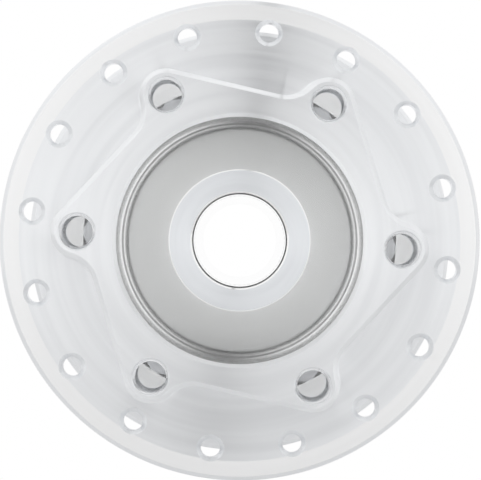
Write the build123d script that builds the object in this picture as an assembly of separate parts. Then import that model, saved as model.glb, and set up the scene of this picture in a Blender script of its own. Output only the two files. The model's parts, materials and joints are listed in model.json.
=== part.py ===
from build123d import *
import math
import os

# Front hub dynamo for a wheel with a disc brake and a thru axle, in millimetres.
#
# Frame: the origin is the middle of the hub, the axle line is Y with the brake side at -Y,
# +Z is up and +X is to the right for someone who faces the brake side.
#
# Every piece is drawn lying down: the axle line is Z, and a "place" is a distance along it from
# the middle of the hub, positive towards the brake side. stand() turns a finished piece upright.

# Axle line
OVER_FACES = 100.0  # from dropout face to dropout face
END_FACE_R = 9.3
THRU_BORE_R = 6.05  # a 12 mm thru axle slides through
BORE_CHAMFER = 0.4
FACE_CHAMFER = 0.25
AXLE_SEAT_R = 10.0  # inside of the 20 x 32 x 7 bearings
AXLE_BODY_R = 11.5  # between the bearings, where the stator sits
AXLE_BRAKE_END = 38.0
AXLE_CONNECTOR_END = -46.0

# Bearings
BEARING_R = 16.0
BEARING_WIDTH = 7.0
INNER_RING_R = 11.8
SEAL_GAP = 0.2
BRAKE_BEARING = 18.5  # place of its inboard face
CONNECTOR_BEARING = -20.5  # place of its inboard face
BEARING_LIP_R = 14.6

# Hub shell
FLANGE_R = 33.2
FLANGE_CHAMFER = 0.6
FLANGE_FLAT_R = 28.9  # outside this the outer face falls back a little
FLANGE_FALL = 0.25
BRAKE_FLANGE = (26.9, 30.3)
CONNECTOR_FLANGE = (-30.5, -27.1)
DRUM_R = 26.2
DRUM_CHAMFER = 0.5
SHOULDER = 16.0  # the drum's turned front shoulder
NECK_R = 21.4
CAVITY_R = 24.0
CAVITY_END = 13.4
THREAD_R = 24.5
THREAD_END = -18.5

# Spoke holes
SPOKES_PER_FLANGE = 16
SPOKE_CIRCLE_R = 29.0
FAR_SPOKE_CIRCLE_R = 28.4  # on the connector flange
SPOKE_HOLE_R = 1.35
SPOKE_SINK_R = 1.93
SPOKE_TURN = -8.05  # degrees from +X to the first hole of the brake flange

# Rotor pad: six lobes joined by straight flanks that lean the same way
PAD_FACE = 39.5
BOLTS = 6
BOLT_CIRCLE_R = 22.0
BOLT_TURN = -3.2
BOLT_HOLE_R = 2.12  # crest of an M5 thread
BOLT_SINK_R = 2.6
LOBE_R = 3.6
LOBE_VALLEY_R = 4.4
FLANK_LEAN = 40.0  # degrees from a bolt hole to the flank's normal
PAD_CHAMFER = 0.6

# Recess round the brake side cone
RECESS_MOUTH_R = 16.7
RECESS_CHAMFER = 0.5
RECESS_FLOOR_R = 16.42
RECESS_FLOOR = 26.6
CONE_BACK = 27.0
CONE_RIM_R = 16.15
CONE_SHORT_R = 13.0  # rim of the connector side cone

# Magnet ring and claw-pole stator
POLES = 28
MAGNET_RING_R = 22.6
MAGNET_INNER_R = 21.0
MAGNET_WIDTH = 4.3
STATOR_MID = -2.5
STATOR_HALF = 12.5
MAGNET_HALF = 13.5
CLAW_OUTER_R = 20.6
CLAW_INNER_R = 18.4
CLAW_PLATE = 2.5
CLAW_WEB_R = 17.2
CLAW_ROOT = 4.0
CLAW_TIP = 2.2
CLAW_TIP_GAP = 1.5
CORE_R = 14.0
BOBBIN_R = 18.1
BOBBIN_WALL = 0.8
KEY_WIDTH = 3.0
KEY_TOP = 12.6
KEY_FLOOR = 10.2

# Leads and terminals
GROOVE_WIDTH = 3.4
GROOVE_FLOOR = 8.4
LEAD_R = 0.55
LEAD_X = 0.9
LEAD_RUN_Z = 9.1
LEAD_START_Z = 15.6
LEAD_BENDS = [0.8, 1.6]
TAB_WIDTH = 4.8
TAB_THICK = 0.8
TAB_TOP = 30.0
TAB_PLACE = -38.0
TAB_GAP = 3.6
TAB_CORNER = 1.2
TAB_EYE_R = 0.7
TAB_EYE_DROP = 3.2

# Terminal block
BLOCK_FRONT = -29.0
BLOCK_BACK = -42.5
BLOCK_R = 15.75
BLOCK_STEP = 1.8
BLOCK_BOSS = 1.5
TOWER_FLOOR = 11.0
TOWER_HEIGHT = 11.0
TOWER_DEPTH = 6.4
TOWER_WALL = 1.6
TOWER_CORNER = 2.0

# Side cover
COVER_FACE = -31.7
COVER_RIM_R = 26.4
DISH_FLOOR = -28.2
DISH_OUTER_R = 23.6
DISH_INNER_R = 18.6
SPANNER_HOLES = 6
SPANNER_CIRCLE_R = 21.1
SPANNER_HOLE_R = 1.5
SPANNER_DEPTH = 3.0


def turned(*corners):
    """A solid of revolution about the axle line, from the (radius, place) corners of its section."""
    return revolve(Plane.XZ * make_face(Polyline(*corners, close=True)), Axis.Z)


def ring(inner_r, outer_r, start, end):
    """A plain ring between two places."""
    return turned((inner_r, start), (outer_r, start), (outer_r, end), (inner_r, end))


def around(count, piece, turn=0.0):
    """Equal copies of a piece round the axle line."""
    return [Rot(Z=turn + 360 / count * i) * piece for i in range(count)]


def stand(piece):
    """Turns a piece from the drawing position so that the brake side faces -Y."""
    return Rot(X=90) * piece


def sunk_hole(radius, sink_r, circle_r, face, depth):
    """The cutter for a countersunk hole that is drilled into a face from the brake side."""
    sink = sink_r - radius
    section = Polyline(
        (0, face + 1), (sink_r + 1, face + 1), (radius, face - sink), (radius, face - depth),
        (0, face - depth), close=True,
    )
    return Pos(circle_r, 0, 0) * revolve(Plane.XZ * make_face(section), Axis.Z)


def shell_outside():
    """Drum, neck and both spoke flanges, still solid inside."""
    brake_in, brake_out = BRAKE_FLANGE
    far_out, far_in = CONNECTOR_FLANGE
    cut = FLANGE_CHAMFER
    return turned(
        (0, far_out),
        (FLANGE_FLAT_R, far_out),
        (FLANGE_R - cut, far_out + FLANGE_FALL),
        (FLANGE_R, far_out + FLANGE_FALL + cut),
        (FLANGE_R, far_in - cut),
        (FLANGE_R - cut, far_in),
        (DRUM_R, far_in),
        (DRUM_R, SHOULDER - DRUM_CHAMFER),
        (DRUM_R - DRUM_CHAMFER, SHOULDER),
        (NECK_R, SHOULDER),
        (NECK_R, brake_in),
        (FLANGE_R - cut, brake_in),
        (FLANGE_R, brake_in + cut),
        (FLANGE_R, brake_out - FLANGE_FALL - cut),
        (FLANGE_R - cut, brake_out - FLANGE_FALL),
        (FLANGE_FLAT_R, brake_out),
        (0, brake_out),
    )


def shell_inside():
    """Everything that is bored out of the shell along the axle line."""
    return turned(
        (0, CONNECTOR_FLANGE[0] - 1),
        (THREAD_R, CONNECTOR_FLANGE[0] - 1),
        (THREAD_R, THREAD_END),
        (CAVITY_R, THREAD_END),
        (CAVITY_R, CAVITY_END),
        (BEARING_LIP_R, CAVITY_END),
        (BEARING_LIP_R, BRAKE_BEARING),
        (BEARING_R, BRAKE_BEARING),
        (BEARING_R, RECESS_FLOOR),
        (RECESS_FLOOR_R, RECESS_FLOOR),
        (RECESS_MOUTH_R, PAD_FACE - RECESS_CHAMFER),
        (RECESS_MOUTH_R + RECESS_CHAMFER, PAD_FACE),
        (RECESS_MOUTH_R + RECESS_CHAMFER, PAD_FACE + 1),
        (0, PAD_FACE + 1),
    )


def pad_outline():
    """The rotor pad's outline: a straight flank, a valley and a lobe, six times."""
    lean = math.radians(FLANK_LEAN)
    outward = Vector(math.cos(lean), -math.sin(lean))
    along = Vector(-math.sin(lean), -math.cos(lean))
    lobe = Vector(BOLT_CIRCLE_R, 0)
    next_lobe = lobe.rotate(Axis.Z, -360 / BOLTS)
    reach = LOBE_R + LOBE_VALLEY_R
    rise = lobe.dot(outward) + reach - next_lobe.dot(outward)
    valley = next_lobe + outward * rise - along * math.sqrt(reach**2 - rise**2)
    turn = math.degrees(math.acos(rise / reach))
    flank = Line(lobe + outward * LOBE_R, valley - outward * LOBE_VALLEY_R)
    hollow = JernArc(flank @ 1, along, LOBE_VALLEY_R, turn)
    tip = JernArc(hollow @ 1, hollow % 1, LOBE_R, -turn - 360 / BOLTS)
    return around(BOLTS, flank + hollow + tip, BOLT_TURN)


def rotor_pad():
    """The raised pad that the brake rotor is bolted to, with its top edge broken."""
    outline = make_face([edge for part in pad_outline() for edge in part.edges()])
    pad = extrude(Pos(0, 0, BRAKE_FLANGE[1] - 1) * outline, PAD_FACE - BRAKE_FLANGE[1] + 1)
    return chamfer(pad.faces().sort_by(Axis.Z)[-1].edges(), PAD_CHAMFER)


def hub_shell():
    shell = shell_outside() + rotor_pad() - shell_inside()
    bolt = sunk_hole(BOLT_HOLE_R, BOLT_SINK_R, BOLT_CIRCLE_R, PAD_FACE, PAD_FACE - BRAKE_FLANGE[0])
    spoke = sunk_hole(SPOKE_HOLE_R, SPOKE_SINK_R, SPOKE_CIRCLE_R, BRAKE_FLANGE[1], 5)
    far_spoke = Pos(FAR_SPOKE_CIRCLE_R, 0, sum(CONNECTOR_FLANGE) / 2) * Cylinder(SPOKE_HOLE_R, 6)
    shell -= around(BOLTS, bolt, BOLT_TURN)
    shell -= around(SPOKES_PER_FLANGE, spoke, SPOKE_TURN)
    shell -= around(SPOKES_PER_FLANGE, far_spoke, SPOKE_TURN + 180 / SPOKES_PER_FLANGE)
    return shell


def side_cover():
    """Screws into the open side of the drum and carries the second bearing."""
    cover = turned(
        (BEARING_LIP_R, THREAD_END),
        (THREAD_R, THREAD_END),
        (THREAD_R, CONNECTOR_FLANGE[0]),
        (COVER_RIM_R, CONNECTOR_FLANGE[0]),
        (COVER_RIM_R, COVER_FACE),
        (DISH_OUTER_R, COVER_FACE),
        (DISH_OUTER_R, DISH_FLOOR),
        (DISH_INNER_R, DISH_FLOOR),
        (DISH_INNER_R, COVER_FACE),
        (BEARING_R, COVER_FACE),
        (BEARING_R, CONNECTOR_BEARING),
        (BEARING_LIP_R, CONNECTOR_BEARING),
    )
    hole = Pos(SPANNER_CIRCLE_R, 0, DISH_FLOOR) * Cylinder(SPANNER_HOLE_R, 2 * SPANNER_DEPTH)
    return cover - around(SPANNER_HOLES, hole)


def bearing_outer_ring(start, end):
    """Outer ring with its two pressed-in seals, which close the ball space."""
    return ring(INNER_RING_R + SEAL_GAP, BEARING_R, start, end)


def bearing_inner_ring(start, end):
    return ring(AXLE_SEAT_R, INNER_RING_R, start, end)


def magnet_yoke():
    """Soft iron ring that closes the field behind the magnets."""
    return ring(MAGNET_RING_R, CAVITY_R, THREAD_END, CAVITY_END)


def rotor_magnets():
    """Flat bar magnets, north and south in turn, glued inside the yoke."""
    half = MAGNET_WIDTH / 2
    outer = math.sqrt(MAGNET_RING_R**2 - half**2)
    thick = outer - MAGNET_INNER_R
    bar = Pos(MAGNET_INNER_R + thick / 2, 0, STATOR_MID) * Box(thick, MAGNET_WIDTH, 2 * MAGNET_HALF)
    return Compound(around(POLES, bar))


def lead_groove(floor, top, start, end):
    """The cutter for the channel that the two leads lie in."""
    middle = Pos(0, (floor + top) / 2, (start + end) / 2)
    return middle * Box(GROOVE_WIDTH, top - floor, end - start)


def claw_pole():
    """One half of the stator: half the core, a plate and a ring of tapered claws."""
    claws = POLES // 2
    tip = -STATOR_HALF + CLAW_PLATE + CLAW_TIP_GAP
    plate_in = STATOR_HALF - CLAW_PLATE
    bent = turned(
        (CLAW_WEB_R - 1, plate_in),
        (CLAW_INNER_R, plate_in),
        (CLAW_INNER_R, tip),
        (CLAW_OUTER_R, tip),
        (CLAW_OUTER_R, STATOR_HALF),
        (CLAW_WEB_R - 1, STATOR_HALF),
    )
    blank = Polyline(
        (-CLAW_ROOT / 2, STATOR_HALF), (CLAW_ROOT / 2, STATOR_HALF),
        (CLAW_TIP / 2, tip), (-CLAW_TIP / 2, tip), close=True,
    )
    claw = bent & extrude(Plane.YZ * make_face(blank), CLAW_OUTER_R + 1)
    pole = ring(AXLE_BODY_R, CLAW_WEB_R, plate_in, STATOR_HALF)
    pole += ring(AXLE_BODY_R, CORE_R, 0, plate_in)
    return pole + around(claws, claw, 90)


def stator_key():
    """The key that stops the stator turning on the axle, opposite the leads."""
    depth = KEY_TOP - KEY_FLOOR
    return Pos(0, -KEY_FLOOR - depth / 2, STATOR_MID) * Box(KEY_WIDTH, depth, 2 * STATOR_HALF)


def brake_claw_pole():
    return Pos(0, 0, STATOR_MID) * claw_pole() - stator_key()


def connector_claw_pole():
    """The same pressing turned round, with its claws between the others and a slot for the leads."""
    turned_round = Rot(Z=180 / (POLES // 2)) * (Rot(Y=180) * claw_pole())
    pole = Pos(0, 0, STATOR_MID) * turned_round
    start = STATOR_MID - STATOR_HALF
    slot = lead_groove(0, LEAD_START_Z + 2 * LEAD_R, start, start + CLAW_PLATE)
    return pole - slot - stator_key()


def coil_bobbin():
    """Moulded spool between the two claw plates."""
    end = STATOR_HALF - CLAW_PLATE
    spool = turned(
        (CORE_R, -end),
        (BOBBIN_R, -end),
        (BOBBIN_R, -end + BOBBIN_WALL),
        (CORE_R + BOBBIN_WALL, -end + BOBBIN_WALL),
        (CORE_R + BOBBIN_WALL, end - BOBBIN_WALL),
        (BOBBIN_R, end - BOBBIN_WALL),
        (BOBBIN_R, end),
        (CORE_R, end),
    )
    return Pos(0, 0, STATOR_MID) * spool - coil_leads()


def coil_winding():
    end = STATOR_HALF - CLAW_PLATE - BOBBIN_WALL
    return Pos(0, 0, STATOR_MID) * ring(CORE_R + BOBBIN_WALL, BOBBIN_R - 0.4, -end, end)


def axle_tube():
    """Hollow axle: two bearing seats, a thicker middle, a key slot and the lead groove."""
    axle = turned(
        (THRU_BORE_R, AXLE_CONNECTOR_END),
        (AXLE_SEAT_R, AXLE_CONNECTOR_END),
        (AXLE_SEAT_R, CONNECTOR_BEARING),
        (AXLE_BODY_R, CONNECTOR_BEARING),
        (AXLE_BODY_R, BRAKE_BEARING),
        (AXLE_SEAT_R, BRAKE_BEARING),
        (AXLE_SEAT_R, AXLE_BRAKE_END),
        (THRU_BORE_R, AXLE_BRAKE_END),
    )
    groove_start = TAB_PLACE - TAB_THICK
    groove_end = STATOR_MID - STATOR_HALF + CLAW_PLATE
    groove = lead_groove(GROOVE_FLOOR, AXLE_BODY_R + 1, groove_start, groove_end)
    return axle - groove - stator_key()


def end_piece(face, collar, collar_r, socket):
    """A turned end piece: a cone from the collar to the dropout face, pressed over the axle."""
    return turned(
        (THRU_BORE_R + BORE_CHAMFER, face),
        (END_FACE_R - FACE_CHAMFER, face),
        (END_FACE_R, face - FACE_CHAMFER),
        (collar_r, collar),
        (AXLE_SEAT_R, collar),
        (AXLE_SEAT_R, socket),
        (THRU_BORE_R, socket),
        (THRU_BORE_R, face - BORE_CHAMFER),
    )


def brake_side_cone():
    """The cone that closes the brake side, with a boss that holds the bearing's inner ring."""
    cone = end_piece(OVER_FACES / 2, CONE_BACK, CONE_RIM_R, AXLE_BRAKE_END)
    boss = ring(AXLE_SEAT_R, INNER_RING_R, BRAKE_BEARING + BEARING_WIDTH, CONE_BACK)
    return cone + boss


def connector_side_cone():
    """The shorter cone behind the terminal block, drawn as the other and turned round."""
    return Rot(Y=180) * end_piece(OVER_FACES / 2, -BLOCK_BACK, CONE_SHORT_R, -AXLE_CONNECTOR_END)


def terminal_tab(side):
    """A flat push-on tab whose foot lies in the lead groove; side is 1 or -1."""
    inner = TAB_GAP / 2
    outer = inner + TAB_WIDTH
    foot = (LEAD_X - LEAD_R, GROOVE_WIDTH / 2 - 0.1)
    shape = Polyline(
        (foot[0], GROOVE_FLOOR + 0.1),
        (foot[1], GROOVE_FLOOR + 0.1),
        (foot[1], TOWER_FLOOR),
        (outer, TOWER_FLOOR + 2),
        (outer, TAB_TOP - TAB_CORNER),
        (outer - TAB_CORNER, TAB_TOP),
        (inner + TAB_CORNER, TAB_TOP),
        (inner, TAB_TOP - TAB_CORNER),
        (inner, TOWER_FLOOR + 3),
        (foot[0], TOWER_FLOOR + 1),
        close=True,
    )
    tab = extrude(Pos(0, 0, TAB_PLACE - TAB_THICK) * make_face(shape), TAB_THICK)
    middle = (inner + outer) / 2
    tab -= Pos(middle, TAB_TOP - TAB_EYE_DROP, TAB_PLACE) * Cylinder(TAB_EYE_R, 4 * TAB_THICK)
    return tab if side > 0 else mirror(tab, Plane.YZ)


def terminal_block():
    """Moulded block round the axle that holds the two tabs and covers the bearing."""
    collar = turned(
        (AXLE_SEAT_R, BLOCK_BACK),
        (CONE_SHORT_R, BLOCK_BACK),
        (BLOCK_R, BLOCK_FRONT - BLOCK_STEP),
        (BLOCK_R, BLOCK_FRONT),
        (INNER_RING_R, BLOCK_FRONT),
        (INNER_RING_R, BLOCK_FRONT + BLOCK_BOSS),
        (AXLE_SEAT_R, BLOCK_FRONT + BLOCK_BOSS),
    )
    width = TAB_GAP + 2 * TAB_WIDTH + 2 * TOWER_WALL
    tower = Box(width, TOWER_HEIGHT, TOWER_DEPTH, align=(Align.CENTER, Align.MIN, Align.CENTER))
    tower = fillet(tower.edges().filter_by(Axis.Z).group_by(Axis.Y)[-1], TOWER_CORNER)
    tower = Pos(0, TOWER_FLOOR, TAB_PLACE - TAB_THICK / 2) * tower
    axle = Cylinder(AXLE_SEAT_R, OVER_FACES)
    return collar + tower - axle - terminal_tab(1) - terminal_tab(-1)


def coil_leads():
    """Two leads: out of the spool, down the slot in the claw plate and along the axle to the tabs."""
    plate = STATOR_MID - STATOR_HALF + CLAW_PLATE
    bend = plate - CLAW_PLATE / 2
    route = FilletPolyline(
        (LEAD_X, LEAD_START_Z, plate + BOBBIN_WALL),
        (LEAD_X, LEAD_START_Z, bend),
        (LEAD_X, LEAD_RUN_Z, bend),
        (LEAD_X, LEAD_RUN_Z, TAB_PLACE),
        radius=LEAD_BENDS,
    )
    lead = sweep(Plane(route @ 0, z_dir=route % 0) * Circle(LEAD_R), route)
    return Compound([lead, mirror(lead, Plane.YZ)])


PIECES = {
    "hub_shell": hub_shell(),
    "side_cover": side_cover(),
    "magnet_yoke": magnet_yoke(),
    "rotor_magnets": rotor_magnets(),
    "brake_bearing_outer_ring": bearing_outer_ring(BRAKE_BEARING, BRAKE_BEARING + BEARING_WIDTH),
    "connector_bearing_outer_ring": bearing_outer_ring(CONNECTOR_BEARING - BEARING_WIDTH, CONNECTOR_BEARING),
    "brake_bearing_inner_ring": bearing_inner_ring(BRAKE_BEARING, BRAKE_BEARING + BEARING_WIDTH),
    "connector_bearing_inner_ring": bearing_inner_ring(CONNECTOR_BEARING - BEARING_WIDTH, CONNECTOR_BEARING),
    "axle_tube": axle_tube(),
    "brake_side_cone": brake_side_cone(),
    "connector_side_cone": connector_side_cone(),
    "brake_claw_pole": brake_claw_pole(),
    "connector_claw_pole": connector_claw_pole(),
    "stator_key": stator_key(),
    "coil_bobbin": coil_bobbin(),
    "coil_winding": coil_winding(),
    "coil_leads": coil_leads(),
    "terminal_block": terminal_block(),
    "terminal_tab_right": terminal_tab(1),
    "terminal_tab_left": terminal_tab(-1),
}

os.makedirs("parts", exist_ok=True)
for name, piece in PIECES.items():
    export_step(stand(piece), f"parts/{name}.step")
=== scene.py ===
# %% [markdown]
# A front hub dynamo of bare turned aluminium, seen along its axle from the brake side.
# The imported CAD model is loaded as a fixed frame, and finer pieces are built over it in the same
# places. Sizes are read from the frame where it has them, and the rest are written in millimetres.

import json
import math

import bmesh
import bpy
from mathutils import Matrix, Vector


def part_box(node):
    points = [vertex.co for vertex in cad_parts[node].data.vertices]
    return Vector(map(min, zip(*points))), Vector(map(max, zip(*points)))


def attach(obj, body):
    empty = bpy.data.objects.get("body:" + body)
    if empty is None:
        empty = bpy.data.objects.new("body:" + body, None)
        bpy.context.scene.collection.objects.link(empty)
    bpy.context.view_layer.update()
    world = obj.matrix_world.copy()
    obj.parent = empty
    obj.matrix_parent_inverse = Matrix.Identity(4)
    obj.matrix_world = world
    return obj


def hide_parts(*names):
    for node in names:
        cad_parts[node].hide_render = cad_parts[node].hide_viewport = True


MM = 0.001
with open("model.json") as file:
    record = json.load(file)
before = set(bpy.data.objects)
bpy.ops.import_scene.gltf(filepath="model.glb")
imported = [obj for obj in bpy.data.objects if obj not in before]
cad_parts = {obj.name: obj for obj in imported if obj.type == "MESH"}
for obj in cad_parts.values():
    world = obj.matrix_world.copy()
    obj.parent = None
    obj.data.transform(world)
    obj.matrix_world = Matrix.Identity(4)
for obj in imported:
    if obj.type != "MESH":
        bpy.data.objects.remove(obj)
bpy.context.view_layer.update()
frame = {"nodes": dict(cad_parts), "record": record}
mounts = {mount["name"]: mount for mount in frame["record"]["mounts"]}
print("nodes:", len(frame["nodes"]), "mounts:", sorted(mounts))

# %% [markdown]
# Nearly every piece of a hub is round about the axle, so it is described as a lathe hand would do
# it: by a radius and a place along the axle, counted from the middle towards the brake side. The
# axle line is Y in the frame and the brake side is at -Y, so a place becomes -Y.

# %% Sizes that the frame already knows
def outer_radius(node):
    """Half the width of a round node, in mm."""
    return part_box(node)[1].x / MM


def places(node):
    """The two ends of a node along the axle, in mm, connector end first."""
    low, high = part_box(node)
    return -high.y / MM, -low.y / MM


FLANGE_R = outer_radius("hub_shell")
PAD_FACE = places("hub_shell")[1]
SHELL_BACK = places("hub_shell")[0]
HUB_END = places("brake_side_cone")[1]
CONE_BOSS_BACK = places("brake_side_cone")[0]
CONE_RIM_R = outer_radius("brake_side_cone")
BORE_R = mounts["thru_axle_bore"]["dims"]["r_mm"]
BOLTS = mounts["rotor_bolts"]["dims"]
NEAR_SPOKES = mounts["brake_flange_spokes"]["dims"]
FAR_SPOKES = mounts["connector_flange_spokes"]["dims"]
print("flange radius, pad face, hub end:", [round(v, 2) for v in (FLANGE_R, PAD_FACE, HUB_END)])

# %% [markdown]
# The photograph looks straight down the axle. The perspective is fixed by two circles of known size
# at different depths, which put the lens 380 mm in front of the rotor pad. A long lens then gives
# the pixels per millimetre. The axle's vanishing point is a touch off the middle of the frame, so
# the camera is aimed a hair to the right and up, with no shift.

# %% Camera
FRAME_WIDTH = 481
CAMERA_TO_PAD = 380
PIXELS_PER_RADIAN = 2819.6
AIM_RIGHT = 0.9
AIM_UP = 0.5
FILM_WIDTH = 36

camera_data = bpy.data.cameras.new("camera")
camera_data.sensor_width = FILM_WIDTH
camera_data.lens = PIXELS_PER_RADIAN * camera_data.sensor_width / FRAME_WIDTH
camera = bpy.data.objects.new("camera", camera_data)
camera.location = (0, -(PAD_FACE + CAMERA_TO_PAD) * MM, 0)
aim = Vector((AIM_RIGHT / PIXELS_PER_RADIAN, 1, AIM_UP / PIXELS_PER_RADIAN))
camera.rotation_euler = aim.to_track_quat("-Z", "Y").to_euler()
bpy.context.scene.collection.objects.link(camera)
bpy.context.scene.camera = camera
bpy.context.scene.view_settings.view_transform = "Standard"
print("lens", round(camera_data.lens, 2), "mm at", [round(v, 4) for v in camera.location])

# %% [markdown]
# The studio. Bright metal has hardly any colour of its own: it shows the room. In the photograph
# the room is white all round, apart from the gap between two soft boxes where the camera stands.
# That gap is what draws the two darker wedges above and below the bore. Here the world is the room:
# pure white to the camera, and to reflections white with a narrow dark gap on the camera's side.
# The gap leans as the wedges do, and grows paler towards the top. The lower wall behind the hub is
# dimmer, so that the hub has form from the side and from behind. A dark card behind the camera
# would do the same, but would get into the other views. The recess is a deep bowl of bright metal
# that hands light to and fro many times, so reflections may bounce more often than the usual four
# times before they count as black. The world isn't sampled as a lamp, because such samples don't
# know whether they are for a reflection.

# %% World helpers
def new_node(tree, kind, **settings):
    """Adds a node and sets its properties."""
    node = tree.nodes.new(kind)
    for name, value in settings.items():
        setattr(node, name, value)
    return node


def feed(tree, socket, value):
    """Gives a socket either a link or a plain value."""
    if isinstance(value, bpy.types.NodeSocket):
        tree.links.new(value, socket)
    else:
        socket.default_value = value


def math_node(tree, operation, *values):
    """One step of arithmetic; returns its output."""
    node = new_node(tree, "ShaderNodeMath", operation=operation)
    for socket, value in zip(node.inputs, values):
        feed(tree, socket, value)
    return node.outputs[0]


def ramp(tree, value, low, high, to_low=0.0, to_high=1.0):
    """A smooth step of a value from one range to another."""
    node = new_node(tree, "ShaderNodeMapRange", interpolation_type="SMOOTHSTEP")
    for socket, number in zip(node.inputs, (value, low, high, to_low, to_high)):
        feed(tree, socket, number)
    return node.outputs["Result"]


print("node helpers ready")

# %% [markdown]
# A direction in the world is a unit vector, so each range below is a share of 1 along an axis: Y
# runs from the camera to the wall behind the hub, and Z up. A pair gives where a change starts and
# where it is complete.

# %% World
GAP_LEAN = math.radians(7.5)
GAP_HALF = (0.015, 0.055)
GAP_DEPTHS = (-0.15, 0.1)
GAP_HEIGHTS = (-0.2, 1.0)
GAP_LEVELS = (0.0, 0.35)
BACK_STARTS = (0.05, 0.35)
BACK_ENDS = (0.93, 0.97)
BACK_HEIGHTS = (0.1, 0.7)
BACK_LEVEL = 0.5
SOFT_LIGHT = 0.75
MOST_BOUNCES = 20

world = bpy.data.worlds.new("studio")
world.use_nodes = True
bpy.context.scene.world = world
tree = world.node_tree
tree.nodes.clear()
direction = new_node(tree, "ShaderNodeTexCoord").outputs["Generated"]
split = new_node(tree, "ShaderNodeSeparateXYZ")
feed(tree, split.inputs[0], direction)
across = math_node(
    tree, "SUBTRACT",
    math_node(tree, "MULTIPLY", split.outputs["X"], math.cos(GAP_LEAN)),
    math_node(tree, "MULTIPLY", split.outputs["Z"], math.sin(GAP_LEAN)),
)
outside_gap = ramp(tree, math_node(tree, "ABSOLUTE", across), *GAP_HALF)
behind_hub = ramp(tree, split.outputs["Y"], *GAP_DEPTHS)
gap_level = ramp(tree, split.outputs["Z"], *GAP_HEIGHTS, *GAP_LEVELS)
open_room = math_node(tree, "MAXIMUM", outside_gap, behind_hub)
dimming = math_node(tree, "SUBTRACT", 1.0, gap_level)
in_gap = math_node(tree, "SUBTRACT", 1.0, open_room)
front_room = math_node(tree, "SUBTRACT", 1.0, math_node(tree, "MULTIPLY", dimming, in_gap))
back_wall = math_node(
    tree, "SUBTRACT",
    ramp(tree, split.outputs["Y"], *BACK_STARTS),
    ramp(tree, split.outputs["Y"], *BACK_ENDS),
)
back_dimming = ramp(tree, split.outputs["Z"], *BACK_HEIGHTS, 1 - BACK_LEVEL, 0.0)
room = math_node(tree, "SUBTRACT", front_room, math_node(tree, "MULTIPLY", back_wall, back_dimming))
path = new_node(tree, "ShaderNodeLightPath").outputs
seen = math_node(tree, "MAXIMUM", path["Is Camera Ray"], path["Is Transmission Ray"])
room_above_soft = math_node(tree, "SUBTRACT", room, SOFT_LIGHT)
for_metal = math_node(tree, "MULTIPLY", path["Is Glossy Ray"], room_above_soft)
for_eye = math_node(tree, "MULTIPLY", seen, 1.0 - SOFT_LIGHT)
level = math_node(tree, "ADD", SOFT_LIGHT, math_node(tree, "ADD", for_metal, for_eye))
background = new_node(tree, "ShaderNodeBackground")
background.inputs["Color"].default_value = (1, 1, 1, 1)
feed(tree, background.inputs["Strength"], level)
out = new_node(tree, "ShaderNodeOutputWorld")
feed(tree, out.inputs["Surface"], background.outputs[0])
world.cycles.sampling_method = "NONE"
bpy.context.scene.cycles.max_bounces = MOST_BOUNCES
bpy.context.scene.cycles.glossy_bounces = MOST_BOUNCES
print("world nodes:", len(tree.nodes))

# %% [markdown]
# The hub is held by its bore, so the floor lies well below it, out of the main view. It is a pale
# matt disc that keeps the hub's shadow. Two large soft boxes left and right of the camera and one
# above give plain soft light with some direction. They stay out of reflections, where the room
# already has them.

# %% Floor and lamps
FLOOR_DROP = 120
FLOOR_R = 850
FLOOR_SIDES = 96
PAPER = ((0.86, 0.86, 0.86), 0.9)
BOX_RADIANCE = 1.0
SOFT_BOXES = {
    "soft_box_left": ((-900, -700, 150), 500, 900),
    "soft_box_right": ((900, -700, 150), 500, 900),
    "soft_box_top": ((0, -200, 900), 900, 500),
}


def plain_material(name, color, roughness):
    """A matt stage material."""
    material = bpy.data.materials.new(name)
    material.use_nodes = True
    shader = material.node_tree.nodes["Principled BSDF"]
    shader.inputs["Base Color"].default_value = (*color, 1)
    shader.inputs["Roughness"].default_value = roughness
    return material


def soft_box(name, place, width, height):
    """An area lamp that faces the hub and is as bright as white paper."""
    lamp = bpy.data.lights.new(name, "AREA")
    lamp.shape = "RECTANGLE"
    lamp.size = width * MM
    lamp.size_y = height * MM
    lamp.energy = BOX_RADIANCE * math.pi * lamp.size * lamp.size_y
    box = bpy.data.objects.new(name, lamp)
    box.location = Vector(place) * MM
    box.rotation_euler = (-box.location).to_track_quat("-Z", "Z").to_euler()
    box.visible_glossy = False
    bpy.context.scene.collection.objects.link(box)


disc = bmesh.new()
bmesh.ops.create_circle(disc, cap_ends=True, segments=FLOOR_SIDES, radius=FLOOR_R * MM)
bmesh.ops.translate(disc, verts=disc.verts, vec=(0, 0, -FLOOR_DROP * MM))
floor_mesh = bpy.data.meshes.new("floor")
disc.to_mesh(floor_mesh)
disc.free()
floor = bpy.data.objects.new("floor", floor_mesh)
floor.data.materials.append(plain_material("floor_paper", *PAPER))
bpy.context.scene.collection.objects.link(floor)
for name, (place, width, height) in SOFT_BOXES.items():
    soft_box(name, place, width, height)
print("floor and", len(SOFT_BOXES), "soft boxes")

# %% [markdown]
# The lathe. A section drawn as corners, each with a radius that its edge is eased by, is rounded
# with arcs and then turned about the axle. Edges that are really rounded catch a thin line of light
# as on the real part; a bare revolve would look cut from paper. Blender's Spin could turn it, but
# writing the rings out keeps every quad in order and closes the seam by itself.

# %% Lathe helpers
ARC_STEP = math.radians(15)
LATHE_STEPS = 288
NEARLY_STRAIGHT = math.radians(89)
ON_AXLE = 1e-6


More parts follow.
